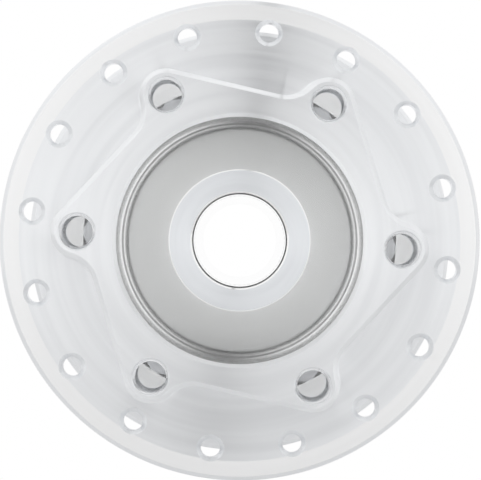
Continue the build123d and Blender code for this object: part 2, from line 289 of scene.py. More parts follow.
def eased(corners):
    """Points of a closed section whose corners (radius, place, easing) are rounded by arcs."""
    points = []
    for index, (radius, place, easing) in enumerate(corners):
        here = Vector((radius, place))
        before = (Vector(corners[index - 1][:2]) - here).normalized()
        after = (Vector(corners[(index + 1) % len(corners)][:2]) - here).normalized()
        half = before.angle(after) / 2
        if easing == 0 or half > NEARLY_STRAIGHT:
            points.append(here)
            continue
        centre = here + (before + after).normalized() * easing / math.sin(half)
        start = here + before * easing / math.tan(half) - centre
        sweep = start.angle_signed(here + after * easing / math.tan(half) - centre)
        steps = max(2, math.ceil(abs(sweep) / ARC_STEP))
        for step in range(steps + 1):
            points.append(centre + Matrix.Rotation(-sweep * step / steps, 2) @ start)
    return points


def lathe(section, steps=LATHE_STEPS):
    """A closed bmesh turned about the axle from (radius, place) points; radius 0 becomes a pole."""
    mesh = bmesh.new()
    rings = []
    for radius, place in section:
        if radius < ON_AXLE:
            rings.append([mesh.verts.new((0, -place * MM, 0))] * steps)
            continue
        angles = [2 * math.pi * step / steps for step in range(steps)]
        rings.append([
            mesh.verts.new((radius * math.cos(a) * MM, -place * MM, radius * math.sin(a) * MM))
            for a in angles
        ])
    for ring, following in zip(rings, rings[1:] + rings[:1]):
        for step in range(steps):
            corner_run = (ring[step], ring[step - 1], following[step - 1], following[step])
            corners = list(dict.fromkeys(corner_run))
            if len(corners) > 2:
                mesh.faces.new(corners)
    bmesh.ops.recalc_face_normals(mesh, faces=mesh.faces)
    return mesh


def as_object(name, mesh):
    """Makes a linked object from a bmesh and frees it."""
    data = bpy.data.meshes.new(name)
    mesh.to_mesh(data)
    mesh.free()
    piece = bpy.data.objects.new(name, data)
    bpy.context.scene.collection.objects.link(piece)
    return piece


print("lathe ready,", LATHE_STEPS, "steps a turn")

# %% [markdown]
# Cutting and finishing. Holes are cut with the Boolean, all of one kind in one pass. Its manifold
# solver is quick and sure as long as both meshes are closed, which lathe work always is. Modifiers
# are applied by reading the evaluated mesh, and the shading is smooth except over real edges.
# Weighted normals keep the flat faces flat right up to their eased edges.

# %% Cutting helpers
SMOOTH_UNDER = math.radians(24)


def settle(piece):
    """Applies a piece's modifiers to its mesh."""
    evaluated = piece.evaluated_get(bpy.context.evaluated_depsgraph_get())
    result = bpy.data.meshes.new_from_object(evaluated)
    piece.modifiers.clear()
    piece.data = result
    return piece


def combine(piece, other, operation):
    """One Boolean step, which uses up the other piece."""
    step = piece.modifiers.new(operation.lower(), "BOOLEAN")
    step.operation = operation
    step.solver = "MANIFOLD"
    step.object = other
    settle(piece)
    bpy.data.objects.remove(other)
    return piece


def shade(piece, smooth_under=SMOOTH_UNDER):
    """Smooth shading inside real edges, with flat faces kept flat."""
    mesh = bmesh.new()
    mesh.from_mesh(piece.data)
    for face in mesh.faces:
        face.smooth = True
    for edge in mesh.edges:
        edge.smooth = edge.is_manifold and edge.calc_face_angle(0) < smooth_under
    mesh.to_mesh(piece.data)
    mesh.free()
    weighting = piece.modifiers.new("flat_faces", "WEIGHTED_NORMAL")
    weighting.keep_sharp = True
    weighting.weight = 100
    return settle(piece)


print("edges shade smooth under", round(math.degrees(SMOOTH_UNDER)), "degrees")


def finish(piece, material, body, slot, *nodes):
    """Gives a piece its material, the body it rides on and the nodes it stands for."""
    piece.data.materials.clear()
    piece.data.materials.append(material)
    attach(piece, body)
    if nodes:
        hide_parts(*nodes)
    triangles = sum(len(polygon.vertices) - 2 for polygon in piece.data.polygons)
    print(piece.name, "triangles:", triangles)


# %% [markdown]
# A piece turned from one blank can still have several finishes, since each face is cut with its own
# tool and feed. A zone is picked by where a face lies: between two radii and between two places. A
# face belongs to it only when all its corners do, because the middle of a large flat face with a
# hole in it can lie in the hole.

# %% Zones
ANY = (-math.inf, math.inf)
SKIN = 0.01
WALL_LEAN = 0.2


def zone(piece, material, radii=ANY, places=ANY, walls_only=False):
    """Gives the faces between two radii and two places, in mm, a finish of their own."""
    index = piece.data.materials.find(material.name)
    if index < 0:
        piece.data.materials.append(material)
        index = len(piece.data.materials) - 1
    count = 0
    passes = []
    for vertex in piece.data.vertices:
        radius, place = math.hypot(vertex.co.x, vertex.co.z) / MM, -vertex.co.y / MM
        passes.append(radii[0] < radius < radii[1] and places[0] < place < places[1])
    for polygon in piece.data.polygons:
        if walls_only and abs(polygon.normal.y) > WALL_LEAN:
            continue
        if all(passes[corner] for corner in polygon.vertices):
            polygon.material_index = index
            count += 1
    print(piece.name, material.name, count, "faces")


print("a wall leans less than", WALL_LEAN)

# %% [markdown]
# Turned aluminium. Each pass of the tool leaves a groove that runs round the axle, far finer than a
# pixel. Grooves smear a reflection across themselves, so the shader is told so: anisotropy with a
# tangent that runs round the axle. The coarser marks that the eye can see are real bump, made from
# noise that hardly changes round the axle and quickly across it. Its coordinates are the cosine and
# sine of the angle, so the pattern meets itself with no seam.

# %% Tool marks
def tool_marks(tree, per_mm, around, detail=3.0):
    """Noise that follows the tool round the axle: fine across the grooves, long along them."""
    coordinates = new_node(tree, "ShaderNodeTexCoord").outputs["Object"]
    parts = new_node(tree, "ShaderNodeSeparateXYZ")
    feed(tree, parts.inputs[0], coordinates)
    flat = new_node(tree, "ShaderNodeCombineXYZ")
    feed(tree, flat.inputs["X"], parts.outputs["X"])
    feed(tree, flat.inputs["Y"], parts.outputs["Z"])
    length = new_node(tree, "ShaderNodeVectorMath", operation="LENGTH")
    feed(tree, length.inputs[0], flat.outputs[0])
    unit = new_node(tree, "ShaderNodeVectorMath", operation="NORMALIZE")
    feed(tree, unit.inputs[0], flat.outputs[0])
    turn = new_node(tree, "ShaderNodeSeparateXYZ")
    feed(tree, turn.inputs[0], unit.outputs[0])
    feed_in = math_node(tree, "ADD", length.outputs["Value"], parts.outputs["Y"])
    point = new_node(tree, "ShaderNodeCombineXYZ")
    feed(tree, point.inputs["X"], math_node(tree, "MULTIPLY", turn.outputs["X"], around))
    feed(tree, point.inputs["Y"], math_node(tree, "MULTIPLY", turn.outputs["Y"], around))
    feed(tree, point.inputs["Z"], math_node(tree, "MULTIPLY", feed_in, per_mm / MM))
    noise = new_node(tree, "ShaderNodeTexNoise")
    noise.inputs["Scale"].default_value = 1
    noise.inputs["Detail"].default_value = detail
    feed(tree, noise.inputs["Vector"], point.outputs[0])
    return noise.outputs["Fac"]


print("tool marks ready")

# %% [markdown]
# The finish of a turned face is the same recipe each time, with its own numbers: how bright the
# metal is, how much it scatters, how strongly the grooves smear, and how coarse and deep the marks
# are. The flange and pad have a coarse feed that smears widely. The bores and the cone are cut so
# finely that they mirror each other, and that makes the recess an even grey: light goes back and
# forth in it until it finds the white room again. A dull finish there would only grow darker.

# %% Turned metal material
ACROSS_GROOVES = 0.25
FINE_AROUND = 1.2
BROAD_AROUND = 0.6
BROAD_TIMES = 5
BROAD_DETAIL = 2.0
NOISE_MIDDLE = (0.3, 0.7)
NOISE_WIDE = (0.25, 0.75)
SCATTER_CHANGE = 0.1
MIX_FROM, MIX_TO, MIX_RESULT = 6, 7, 2


def two_shades(tree, factor, color, darker, lighter):
    """A colour that wanders between a darker and a lighter shade of itself."""
    mix = new_node(tree, "ShaderNodeMix", data_type="RGBA")
    dark = [channel * (1 - darker) for channel in color]
    light = [min(1, channel * (1 + lighter)) for channel in color]
    feed(tree, mix.inputs["Factor"], factor)
    feed(tree, mix.inputs[MIX_FROM], (*dark, 1))
    feed(tree, mix.inputs[MIX_TO], (*light, 1))
    return mix.outputs[MIX_RESULT]


def turned_metal(name, color, roughness, anisotropy, marks_per_mm, mark_depth, shade_range):
    """Bare metal as it comes off the lathe."""
    material = bpy.data.materials.new(name)
    material.use_nodes = True
    tree = material.node_tree
    shader = tree.nodes["Principled BSDF"]
    shader.inputs["Metallic"].default_value = 1
    shader.inputs["Anisotropic"].default_value = anisotropy
    shader.inputs["Anisotropic Rotation"].default_value = ACROSS_GROOVES
    tangent = new_node(tree, "ShaderNodeTangent", direction_type="RADIAL", axis="Y")
    feed(tree, shader.inputs["Tangent"], tangent.outputs[0])
    fine = tool_marks(tree, marks_per_mm, FINE_AROUND)
    broad = tool_marks(tree, marks_per_mm / BROAD_TIMES, BROAD_AROUND, BROAD_DETAIL)
    patches = ramp(tree, broad, *NOISE_MIDDLE)
    shades = two_shades(tree, patches, color, shade_range, shade_range / 2)
    feed(tree, shader.inputs["Base Color"], shades)
    scatter_range = (roughness * (1 - SCATTER_CHANGE), roughness * (1 + SCATTER_CHANGE))
    feed(tree, shader.inputs["Roughness"], ramp(tree, fine, *NOISE_WIDE, *scatter_range))
    bump = new_node(tree, "ShaderNodeBump")
    bump.inputs["Strength"].default_value = 1
    bump.inputs["Distance"].default_value = mark_depth * MM
    feed(tree, bump.inputs["Height"], fine)
    feed(tree, shader.inputs["Normal"], bump.outputs[0])
    return material


# Name, colour, roughness, anisotropy, marks per mm, depth of the marks in mm, change of shade
FINISHES = (
    ("turned_hub_aluminium", (0.948, 0.96, 0.978), 0.31, 1.0, 3.0, 0.002, 0.05),
    ("turned_band_aluminium", (0.985, 0.987, 0.99), 0.36, 0.7, 2.5, 0.0010, 0.02),
    ("bored_aluminium", (0.98, 0.983, 0.987), 0.12, 0.3, 4.0, 0.0002, 0.005),
    ("satin_aluminium", (0.975, 0.978, 0.98), 0.75, 0.0, 2.0, 0.001, 0.02),
    ("turned_cone_aluminium", (0.988, 0.988, 0.984), 0.12, 0.0, 4.0, 0.0002, 0.005),
    ("faced_end_aluminium", (0.885, 0.905, 0.93), 0.42, 0.85, 4.0, 0.0015, 0.03),
    ("turned_cover_aluminium", (0.90, 0.905, 0.91), 0.40, 0.85, 3.0, 0.003, 0.03),
    ("ground_axle_steel", (0.92, 0.92, 0.925), 0.05, 0.0, 5.0, 0.0001, 0.01),
)
metals = [turned_metal(*row) for row in FINISHES]
hub_metal, band_metal, bored_metal, satin_metal = metals[:4]
cone_metal, end_metal, cover_metal, axle_metal = metals[4:]
print("turned metals:", [metal.name for metal in metals])

# %% [markdown]
# The hub shell is one casting turned all over: a drum, a neck and two flanges that carry the
# spokes. Its section is a list of corners. The outer band of each flange falls back a little, which
# makes it catch more of the room than the flat inside it.

# %% Shell, turned outside
RIM_EASE = 0.6
EDGE_EASE = 0.12
CORNER_EASE = 0.5
FLANGE_FALL = 0.25
FLANGE_FLAT_R = 28.9
FLAT_EASE = 1.0
BAND_R = 30.5
NEAR_FLANGE = (26.9, 30.3)
FAR_FLANGE = (SHELL_BACK, SHELL_BACK + 3.4)
DRUM_R = 26.2
DRUM_CHAMFER = 0.5
SHOULDER = 16.0
NECK_R = 21.4

far_fall = FAR_FLANGE[0] + FLANGE_FALL
near_fall = NEAR_FLANGE[1] - FLANGE_FALL
fall_slope = FLANGE_FALL / (FLANGE_R - RIM_EASE - FLANGE_FLAT_R)
band_place = NEAR_FLANGE[1] - fall_slope * (BAND_R - FLANGE_FLAT_R)
outside = [
    (0, FAR_FLANGE[0], 0),
    (FLANGE_FLAT_R, FAR_FLANGE[0], FLAT_EASE),
    (FLANGE_R - RIM_EASE, far_fall, EDGE_EASE),
    (FLANGE_R, far_fall + RIM_EASE, EDGE_EASE),
    (FLANGE_R, FAR_FLANGE[1] - RIM_EASE, EDGE_EASE),
    (FLANGE_R - RIM_EASE, FAR_FLANGE[1], EDGE_EASE),
    (DRUM_R, FAR_FLANGE[1], CORNER_EASE),
    (DRUM_R, SHOULDER - DRUM_CHAMFER, EDGE_EASE),
    (DRUM_R - DRUM_CHAMFER, SHOULDER, EDGE_EASE),
    (NECK_R, SHOULDER, CORNER_EASE),
    (NECK_R, NEAR_FLANGE[0], CORNER_EASE),
    (FLANGE_R - RIM_EASE, NEAR_FLANGE[0], EDGE_EASE),
    (FLANGE_R, NEAR_FLANGE[0] + RIM_EASE, EDGE_EASE),
    (FLANGE_R, near_fall - RIM_EASE, EDGE_EASE),
    (FLANGE_R - RIM_EASE, near_fall, EDGE_EASE),
    (BAND_R, band_place, 0),
    (FLANGE_FLAT_R, NEAR_FLANGE[1], FLAT_EASE),
    (0, NEAR_FLANGE[1], 0),
]
shell = as_object("hub_shell_turned", lathe(eased(outside)))
print("shell outside:", len(shell.data.polygons), "faces")

# %% [markdown]
# The rotor pad stands on the flange: a straight flank, a valley and a lobe, six times round. The
# outline is worked out from circles, so an inset of it is the same outline with smaller lobes and
# wider valleys. That gives the broken top edge and the small fillet at the foot as rings of one
# skin, with no bevel to go wrong.

# %% Rotor pad
LOBE_R = 3.6
VALLEY_R = 4.4
FLANK_LEAN = math.radians(40)
BOLT_TURN = math.radians(-3.2)
PAD_CHAMFER = 0.6
FOOT_R = 0.5
OUTLINE_STEP = math.radians(4)
PAD_ROOT = 1


def pad_outline(inset):
    """The pad's outline as (x, z) points in mm, moved inwards by an inset."""
    count = BOLTS["count"]
    lobe = Vector((BOLTS["pcd_mm"] / 2, 0))
    next_lobe = Matrix.Rotation(-2 * math.pi / count, 2) @ lobe
    outward = Vector((math.cos(FLANK_LEAN), -math.sin(FLANK_LEAN)))
    along = Vector((-math.sin(FLANK_LEAN), -math.cos(FLANK_LEAN)))
    reach = LOBE_R + VALLEY_R
    rise = lobe.dot(outward) + reach - next_lobe.dot(outward)
    valley = next_lobe + outward * rise - along * math.sqrt(reach**2 - rise**2)
    turn = math.acos(rise / reach)
    points = []
    for index in range(count):
        copy_turn = Matrix.Rotation(BOLT_TURN - 2 * math.pi / count * index, 2)
        hollow_steps = math.ceil(turn / OUTLINE_STEP)
        for step in range(hollow_steps + 1):
            spoke = Matrix.Rotation(turn * step / hollow_steps, 2) @ -outward
            points.append(copy_turn @ (valley + spoke * (VALLEY_R + inset)))
        tip_turn = turn + 2 * math.pi / count
        tip_steps = math.ceil(tip_turn / OUTLINE_STEP)
        for step in range(tip_steps):
            spoke = Matrix.Rotation(turn - tip_turn * step / tip_steps, 2) @ outward
            points.append(copy_turn @ (next_lobe + spoke * (LOBE_R - inset)))
    return points


def pad_rows():
    """(inset, place) pairs of the pad's side, from its foot to its broken top edge."""
    foot = [math.radians(a) for a in (4, 20, 40, 60, 80, 90)]
    rows = [
        (-FOOT_R * (1 - math.sin(a)), NEAR_FLANGE[1] + FOOT_R * (1 - math.cos(a))) for a in foot
    ]
    edge = eased([
        (0, NEAR_FLANGE[1] + FOOT_R + 1, 0),
        (0, PAD_FACE - PAD_CHAMFER, EDGE_EASE),
        (PAD_CHAMFER, PAD_FACE, EDGE_EASE),
        (PAD_CHAMFER + 1, PAD_FACE, 0),
    ])
    return [(-FOOT_R, NEAR_FLANGE[1] - PAD_ROOT)] + rows + [tuple(point) for point in edge[1:-1]]


mesh = bmesh.new()
rings = []
for inset, place in pad_rows():
    rings.append([mesh.verts.new((x * MM, -place * MM, z * MM)) for x, z in pad_outline(inset)])
for ring, following in zip(rings, rings[1:]):
    for step in range(len(ring)):
        mesh.faces.new((ring[step - 1], ring[step], following[step], following[step - 1]))
mesh.faces.new(rings[0])
mesh.faces.new(rings[-1])
bmesh.ops.recalc_face_normals(mesh, faces=mesh.faces)
pad = as_object("rotor_pad", mesh)
print("pad outline points:", len(rings[0]), "rows:", len(rings))
shell = combine(shell, pad, "UNION")

# %% [markdown]
# Inside, the shell is bored for the magnet ring, the bearing and the recess round the cone. One
# turned cutter takes it all out, and runs past the metal at both ends. The recess wall leans
# outwards a little and its mouth is broken, which shows in the photograph as a thin bright ring.

# %% Shell, bored inside
CAVITY_R = 24.0
CAVITY_END = 13.4
THREAD_R = 24.5
THREAD_END = -18.5
BEARING_R = outer_radius("brake_bearing_outer_ring")
BEARING_LIP_R = 14.6
BEARING_BACK = places("brake_bearing_outer_ring")[0]
RECESS_FLOOR = 26.93
RECESS_FLOOR_R = 16.42
RECESS_MOUTH_R = 16.7
RECESS_CHAMFER = 0.5
OVERCUT = 1
MOUTH_REACH = 2
MOUTH_LIFT = 0.02

inside = [
    (0, FAR_FLANGE[0] - OVERCUT, 0),
    (THREAD_R, FAR_FLANGE[0] - OVERCUT, 0),
    (THREAD_R, THREAD_END, 0),
    (CAVITY_R, THREAD_END, 0),
    (CAVITY_R, CAVITY_END, CORNER_EASE),
    (BEARING_LIP_R, CAVITY_END, 0),
    (BEARING_LIP_R, BEARING_BACK, 0),
    (BEARING_R, BEARING_BACK, 0),
    (BEARING_R, RECESS_FLOOR, 0),
    (RECESS_FLOOR_R, RECESS_FLOOR, 0),
    (RECESS_MOUTH_R, PAD_FACE - RECESS_CHAMFER, EDGE_EASE),
    (RECESS_MOUTH_R + RECESS_CHAMFER, PAD_FACE, EDGE_EASE),
    (RECESS_MOUTH_R + RECESS_CHAMFER + MOUTH_REACH, PAD_FACE + MOUTH_LIFT, 0),
    (RECESS_MOUTH_R + RECESS_CHAMFER + MOUTH_REACH, PAD_FACE + OVERCUT, 0),
    (0, PAD_FACE + OVERCUT, 0),
]
bore = as_object("shell_bore", lathe(eased(inside)))
shell = combine(shell, bore, "DIFFERENCE")
print("bored shell:", len(shell.data.polygons), "faces")

# %% [markdown]
# Sixteen countersunk holes in each flange take the spokes, and six threaded ones take the rotor's
# screws. A drill is a small turned solid on its own axis. Copies of it, set round the axle in one
# mesh, cut all the holes of a kind at once. The screw drills end just past the flange's underside,
# because two faces in one plane would leave a lid of no thickness over each hole.

# %% Holes
DRILL_STEPS = 48
SPOKE_SINK_R = 1.93
SPOKE_TURN = math.radians(-8.05)
BOLT_SINK_R = 2.6
THREAD_PITCH = 0.8
THREAD_ROOT_R = 2.42
BREAK_THROUGH = 0.02


def drills(name, dims, turn, profile):
    """Copies of one turned cutter round the axle; the profile is (radius, place) in mm."""
    mesh = bmesh.new()
    for index in range(dims["count"]):
        angle = turn + 2 * math.pi * index / dims["count"]
        centre = Vector((math.cos(angle), 0, math.sin(angle))) * dims["pcd_mm"] / 2 * MM
        single = lathe(profile, DRILL_STEPS)
        copy = bpy.data.meshes.new("drill")
        single.to_mesh(copy)
        single.free()
        copy.transform(Matrix.Translation(centre))
        mesh.from_mesh(copy)
        bpy.data.meshes.remove(copy)
    bmesh.ops.recalc_face_normals(mesh, faces=mesh.faces)
    return as_object(name, mesh)


def sunk(radius, sink_r, face, end, way):
    """A countersunk drill's profile; way is 1 when it enters at the brake side, otherwise -1."""
    wide = (sink_r + OVERCUT, face + way)
    narrow = (radius, face - way * (sink_r - radius))
    return [(0, face + way), wide, narrow, (radius, end), (0, end)]


near = sunk(NEAR_SPOKES["hole_r_mm"], SPOKE_SINK_R, NEAR_FLANGE[1], NEAR_FLANGE[0] - OVERCUT, 1)
far = sunk(FAR_SPOKES["hole_r_mm"], SPOKE_SINK_R, FAR_FLANGE[0], FAR_FLANGE[1] + OVERCUT, -1)
screw = sunk(THREAD_ROOT_R, BOLT_SINK_R, PAD_FACE, NEAR_FLANGE[0] - BREAK_THROUGH, 1)
half_pitch = math.pi / FAR_SPOKES["count"]
shell = combine(shell, drills("near_drills", NEAR_SPOKES, SPOKE_TURN, near), "DIFFERENCE")
shell = combine(shell, drills("far_drills", FAR_SPOKES, SPOKE_TURN + half_pitch, far), "DIFFERENCE")
shell = combine(shell, drills("screw_drills", BOLTS, BOLT_TURN, screw), "DIFFERENCE")
finish(shade(shell), hub_metal, "shell", "hub_aluminium", "hub_shell")

# %% [markdown]
# The shell's finishes: fine boring in the recess, satin on the drum and neck between the flanges,
# boring again in the walls of the drilled holes, and a finer cut on the brake flange's outer band.
# The order counts, because a later zone takes over faces of an earlier one.

# %% Finishes of the shell
BETWEEN_FLANGES = NEAR_FLANGE[0] + SKIN
HOLE_MARGIN = 1
NECK_MARGIN = 0.5
BAND_MARGIN = 0.1

zone(shell, bored_metal, (0, RECESS_MOUTH_R + SKIN), (-math.inf, PAD_FACE - RECESS_CHAMFER))
zone(shell, satin_metal, (NECK_R - NECK_MARGIN, math.inf), (-BETWEEN_FLANGES, BETWEEN_FLANGES))
zone(shell, bored_metal, (RECESS_MOUTH_R + HOLE_MARGIN, FLANGE_R - HOLE_MARGIN), walls_only=True)
zone(shell, band_metal, (BAND_R - SKIN, math.inf), (near_fall - BAND_MARGIN, math.inf))

# %% [markdown]
# The thread in the six screw holes shows in the photograph as dark crescents. A thread is a rule,
# not a form to model by hand: a ridge that follows a helix. Geometry Nodes turn a small triangle
# along a spiral curve, put one on each of six points round the axle, and make the copies real,
# because the export drops instances.

# %% Screw threads
TURN_STEPS = 28
RIDGE_SIDES = 4
THREAD_LEAD = 0.9
THREAD_RUNOUT = 0.4
THREAD_SINK = 0.1


def thread_tree():
    """Six threaded holes: a spiral ridge, copied round the axle."""
    tree = bpy.data.node_groups.new("screw_threads", "GeometryNodeTree")
    tree.interface.new_socket("Geometry", in_out="OUTPUT", socket_type="NodeSocketGeometry")
    for name in ("Circle Radius", "Root Radius", "Depth", "Ridge", "Turns", "First Turn", "Start"):
        tree.interface.new_socket(name, in_out="INPUT", socket_type="NodeSocketFloat")
    tree.interface.new_socket("Count", in_out="INPUT", socket_type="NodeSocketInt")
    tree.interface.new_socket("Material", in_out="INPUT", socket_type="NodeSocketMaterial")
    sizes = new_node(tree, "NodeGroupInput").outputs
    spiral = new_node(tree, "GeometryNodeCurveSpiral")
    spiral.inputs["Resolution"].default_value = TURN_STEPS
    feed(tree, spiral.inputs["Rotations"], sizes["Turns"])
    feed(tree, spiral.inputs["Start Radius"], sizes["Root Radius"])
    feed(tree, spiral.inputs["End Radius"], sizes["Root Radius"])
    feed(tree, spiral.inputs["Height"], sizes["Depth"])
    upright = new_node(tree, "GeometryNodeSetCurveNormal", mode="Z_UP")
    feed(tree, upright.inputs["Curve"], spiral.outputs["Curve"])
    section = new_node(tree, "GeometryNodeCurvePrimitiveCircle")
    section.inputs["Resolution"].default_value = RIDGE_SIDES
    feed(tree, section.inputs["Radius"], sizes["Ridge"])
    ridge = new_node(tree, "GeometryNodeCurveToMesh")
    ridge.inputs["Fill Caps"].default_value = True
    feed(tree, ridge.inputs["Curve"], upright.outputs["Curve"])
    feed(tree, ridge.inputs["Profile Curve"], section.outputs["Curve"])
    circle = new_node(tree, "GeometryNodeMeshCircle")
    feed(tree, circle.inputs["Vertices"], sizes["Count"])
    feed(tree, circle.inputs["Radius"], sizes["Circle Radius"])
    copies = new_node(tree, "GeometryNodeInstanceOnPoints")
    feed(tree, copies.inputs["Points"], circle.outputs["Mesh"])
    feed(tree, copies.inputs["Instance"], ridge.outputs["Mesh"])
    place = new_node(tree, "GeometryNodeTransform")
    shift = new_node(tree, "ShaderNodeCombineXYZ")
    feed(tree, shift.inputs["Y"], sizes["Start"])
    turn = new_node(tree, "ShaderNodeCombineXYZ")
    turn.inputs["X"].default_value = -math.pi / 2
    feed(tree, turn.inputs["Y"], sizes["First Turn"])
    feed(tree, place.inputs["Geometry"], copies.outputs["Instances"])
    feed(tree, place.inputs["Translation"], shift.outputs[0])
    feed(tree, place.inputs["Rotation"], turn.outputs[0])
    real = new_node(tree, "GeometryNodeRealizeInstances")
    feed(tree, real.inputs["Geometry"], place.outputs["Geometry"])
    coat = new_node(tree, "GeometryNodeSetMaterial")
    feed(tree, coat.inputs["Geometry"], real.outputs["Geometry"])
    feed(tree, coat.inputs["Material"], sizes["Material"])
    result = new_node(tree, "NodeGroupOutput")
    feed(tree, result.inputs["Geometry"], coat.outputs["Geometry"])
    return tree


def grow(name, tree, **inputs):
    """Runs a node tree on an empty mesh and returns the plain piece it makes."""
    holder = bpy.data.objects.new(name, bpy.data.meshes.new(name))
    bpy.context.scene.collection.objects.link(holder)
    maker = holder.modifiers.new(name, "NODES")
    maker.node_group = tree
    identifiers = {item.name: item.identifier for item in tree.interface.items_tree}
    for key, value in inputs.items():
        maker[identifiers[key.replace("_", " ").title()]] = value
    return settle(holder)


thread_start = PAD_FACE - THREAD_LEAD
thread_depth = thread_start - NEAR_FLANGE[0] - THREAD_RUNOUT
ridge_root = THREAD_ROOT_R + THREAD_SINK
threads = grow(
    "screw_threads", thread_tree(),
    circle_radius=BOLTS["pcd_mm"] / 2 * MM,
    root_radius=ridge_root * MM,
    depth=thread_depth * MM,
    ridge=(ridge_root - BOLTS["hole_r_mm"]) * MM,
    turns=thread_depth / THREAD_PITCH,
    first_turn=-BOLT_TURN,
    start=-thread_start * MM,
    count=BOLTS["count"],
    material=bored_metal,
)
print("threads:", len(threads.data.polygons), "faces from", thread_depth / THREAD_PITCH, "turns")
finish(shade(threads), bored_metal, "shell", "hub_aluminium")

# %% [markdown]
# The cone closes the brake side: a smooth turned piece from the thin gap at the recess wall to the
# flat ring that meets the fork. It is lathe work again, with finer easing, because its edges are
# the sharpest lines in the picture. Its end face and its bore get finishes of their own.

# %% Brake side cone
END_FACE_R = 9.3
AXLE_SEAT_R = 10.0
INNER_RING_R = outer_radius("brake_bearing_inner_ring")
AXLE_END = places("axle_tube")[1]
CONE_BACK = 27.0
FINE_EASE = 0.1
END_EDGE_EASE = 0.18
RIM_LINE_EASE = 0.03
BORE_CHAMFER = 0.4
END_SKIN = 0.02
BORE_MARGIN = 0.3


def end_piece(face, collar, collar_r, socket, boss):
    """The section of an end cone; with the boss at the collar's own place it has no boss."""
    corners = [
        (BORE_R + BORE_CHAMFER, face, FINE_EASE),
        (END_FACE_R, face, END_EDGE_EASE),
        (collar_r, collar, RIM_LINE_EASE),
    ]
    if boss != collar:
        corners += [(INNER_RING_R, collar, FINE_EASE), (INNER_RING_R, boss, FINE_EASE)]
    return corners + [
        (AXLE_SEAT_R, boss, FINE_EASE),
        (AXLE_SEAT_R, socket, 0),
        (BORE_R, socket, 0),
        (BORE_R, face - BORE_CHAMFER, FINE_EASE),
    ]


brake_end = end_piece(HUB_END, CONE_BACK, CONE_RIM_R, AXLE_END, CONE_BOSS_BACK)
cone = as_object("brake_cone", lathe(eased(brake_end)))
finish(shade(cone), cone_metal, "axle", "cone_aluminium", "brake_side_cone")
zone(cone, end_metal, places=(HUB_END - END_SKIN, math.inf))
zone(cone, axle_metal, radii=(0, BORE_R + BORE_MARGIN))

# %% [markdown]
# The connector side cone is the same piece made shorter, and sits the other way round. Drawing it
# with its places turned about the middle keeps one section for both.

# %% Connector side cone
CONNECTOR_COLLAR, CONNECTOR_FACE = [-place for place in places("connector_side_cone")][::-1]
CONNECTOR_AXLE_END = -places("axle_tube")[0]
SHORT_R = outer_radius("connector_side_cone")
SHORT_END_DEPTH = 0.3
mirrored = end_piece(
    CONNECTOR_FACE, CONNECTOR_COLLAR, SHORT_R, CONNECTOR_AXLE_END, CONNECTOR_COLLAR
)
back = eased([(radius, -place, easing) for radius, place, easing in mirrored])
connector_cone = as_object("connector_cone", lathe(back))
finish(shade(connector_cone), cone_metal, "axle", "cone_aluminium", "connector_side_cone")
zone(connector_cone, end_metal, places=(-math.inf, SHORT_END_DEPTH - HUB_END))
zone(connector_cone, axle_metal, radii=(0, BORE_R + BORE_MARGIN))

# %% [markdown]
# The side cover screws into the open end of the drum. It is a dished ring, with six blind holes for
# a pin spanner in the dish.

# %% Side cover
COVER_FACE = places("side_cover")[0]
COVER_RIM_R = outer_radius("side_cover")
DISH_FLOOR = -28.2
DISH_OUTER_R = 23.6
DISH_INNER_R = 18.6
COVER_BEARING = places("connector_bearing_outer_ring")[1]
PINS = {"count": 6, "pcd_mm": 42.2}
PIN_HOLE_R = 1.5
PIN_SINK = 0.25
PIN_DEPTH = 3

cover_section = eased([
    (BEARING_LIP_R, THREAD_END, 0.2),
    (THREAD_R, THREAD_END, 0.3),
    (THREAD_R, FAR_FLANGE[0], 0),
    (COVER_RIM_R, FAR_FLANGE[0], 0.1),
    (COVER_RIM_R, COVER_FACE, 0.5),
    (DISH_OUTER_R, COVER_FACE, 0.25),
    (DISH_OUTER_R, DISH_FLOOR, 0.4),
    (DISH_INNER_R, DISH_FLOOR, 0.4),
    (DISH_INNER_R, COVER_FACE, 0.25),
    (BEARING_R, COVER_FACE, 0.3),
    (BEARING_R, COVER_BEARING, 0),
    (BEARING_LIP_R, COVER_BEARING, 0.15),
])
cover = as_object("drum_cover", lathe(cover_section))
pin_drill = sunk(PIN_HOLE_R, PIN_HOLE_R + PIN_SINK, DISH_FLOOR, DISH_FLOOR + PIN_DEPTH, -1)
cover = combine(cover, drills("pin_drills", PINS, 0, pin_drill), "DIFFERENCE")
finish(shade(cover), cover_metal, "shell", "hub_aluminium", "side_cover")

# %% [markdown]
# Other pieces have the right shape in CAD, but the frame's mesh is loose triangles with hard edges.
# A merged copy gets its flat faces back in one piece, and a small bevel with an angle limit eases
# the edges that a mould or a file would ease.

# %% Eased copies of CAD nodes
MERGE_WITHIN = 0.001
FLAT_UNDER = math.radians(0.5)
EASE_OVER = math.radians(35)
COPY_SMOOTH_UNDER = math.radians(40)


def eased_copy(name, node, width, segments=2):
    """A merged copy of a node with its edges rounded by a bevel."""
    mesh = bmesh.new()
    mesh.from_mesh(frame["nodes"][node].data)
    bmesh.ops.remove_doubles(mesh, verts=mesh.verts, dist=MERGE_WITHIN * MM)
    bmesh.ops.dissolve_limit(mesh, angle_limit=FLAT_UNDER, verts=mesh.verts, edges=mesh.edges)
    piece = as_object(name, mesh)
    if width:
        bevel = piece.modifiers.new("eased_edges", "BEVEL")
        bevel.width = width * MM
        bevel.segments = segments
        bevel.limit_method = "ANGLE"
        bevel.angle_limit = EASE_OVER
        bevel.use_clamp_overlap = True
        settle(piece)
    return shade(piece, COPY_SMOOTH_UNDER)


hollow_axle = eased_copy("hollow_axle", "axle_tube", 0)
finish(hollow_axle, axle_metal, "axle", "axle_steel", "axle_tube")

# %% [markdown]
# Moulded black nylon for the terminal block: a fine spark-eroded grain from noise, with the gloss
# a little uneven. The real part is glass filled, which greys it slightly.

